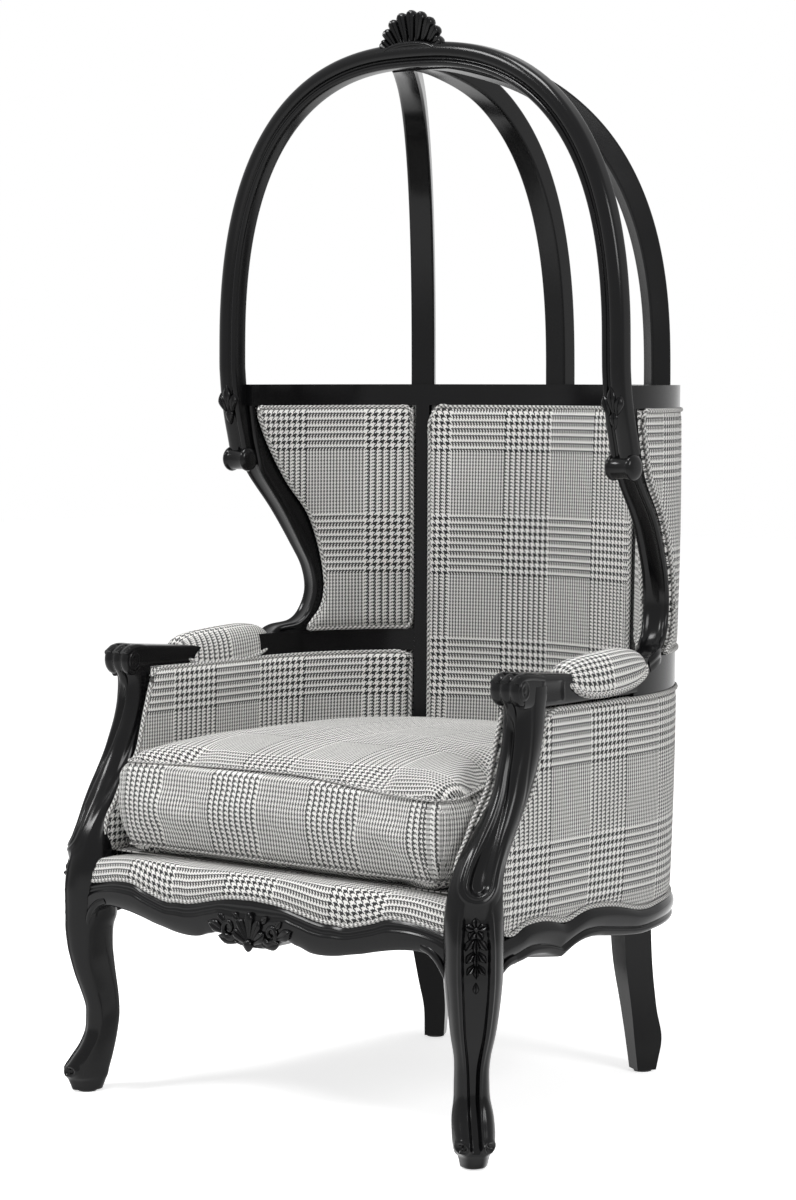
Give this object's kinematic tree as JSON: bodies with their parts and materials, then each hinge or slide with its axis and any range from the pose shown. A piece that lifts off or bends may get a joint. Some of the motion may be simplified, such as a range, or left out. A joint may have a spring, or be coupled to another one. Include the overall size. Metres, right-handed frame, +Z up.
{
  "type": "throne chair",
  "caption": "Tall barrel-back canopy armchair: black carved frame with an open dome of bent ribs, check upholstery and a loose seat cushion.",
  "frame": {"origin": "centre of the bounding box's footprint, on the floor", "axes": "+Z up, +Y from the front of the seat towards the back, +X to the right of a person who faces the chair"},
  "size_m": [0.8206, 0.7707, 1.645],
  "materials": {
    "lacquer": "gloss black lacquer on carved wood",
    "check_fabric": "woven black and cream check",
    "beech": "plain sawn",
    "webbing": "woven jute",
    "cover_cloth": "thin black cloth",
    "screw": "plain",
    "glide": "moulded"
  },
  "bodies": {
    "frame": {"arch_dowel": "beech", "arch_foot_left": "lacquer", "arch_foot_right": "lacquer", "arch_left": "lacquer", "arch_right": "lacquer", "arm_left": "lacquer", "arm_pad_left": "check_fabric", "arm_pad_right": "check_fabric", "arm_post_left": "lacquer", "arm_post_right": "lacquer", "arm_rail_left": "lacquer", "arm_rail_right": "lacquer", "arm_right": "lacquer", "back_leg_left": "lacquer", "back_leg_right": "lacquer", "back_seat_rail": "lacquer", "back_stile_left": "lacquer", "back_stile_right": "lacquer", "block_screws": "screw", "corner_blocks": "beech", "crest_shell": "lacquer", "dome_rib_centre": "lacquer", "dome_rib_left": "lacquer", "dome_rib_right": "lacquer", "dust_cover": "cover_cloth", "foot_glides": "glide", "front_leg_left": "lacquer", "front_leg_right": "lacquer", "front_seat_rail": "lacquer", "inside_arm_panel_left": "check_fabric", "inside_arm_panel_right": "check_fabric", "inside_back_panel": "check_fabric", "inside_wing_panel_left": "check_fabric", "inside_wing_panel_right": "check_fabric", "outside_arm_panel_left": "check_fabric", "outside_arm_panel_right": "check_fabric", "outside_back_panel": "check_fabric", "outside_wing_panel_left": "check_fabric", "outside_wing_panel_right": "check_fabric", "post_dowels": "beech", "seat_border": "check_fabric", "seat_deck": "check_fabric", "seat_webbing": "webbing", "side_seat_rail_left": "lacquer", "side_seat_rail_right": "lacquer", "top_rail_back": "lacquer", "top_rail_left": "lacquer", "top_rail_right": "lacquer", "wing_post_left": "lacquer", "wing_post_right": "lacquer", "wing_roll_left": "lacquer", "wing_roll_right": "lacquer"},
    "cushion": {"seat_cushion": "check_fabric"}
  },
  "joints": [
    {"name": "cushion_lift", "type": "slide", "parent": "frame", "child": "cushion", "axis": [0, 0, 1], "range_m": [0, 0.2]}
  ]
}
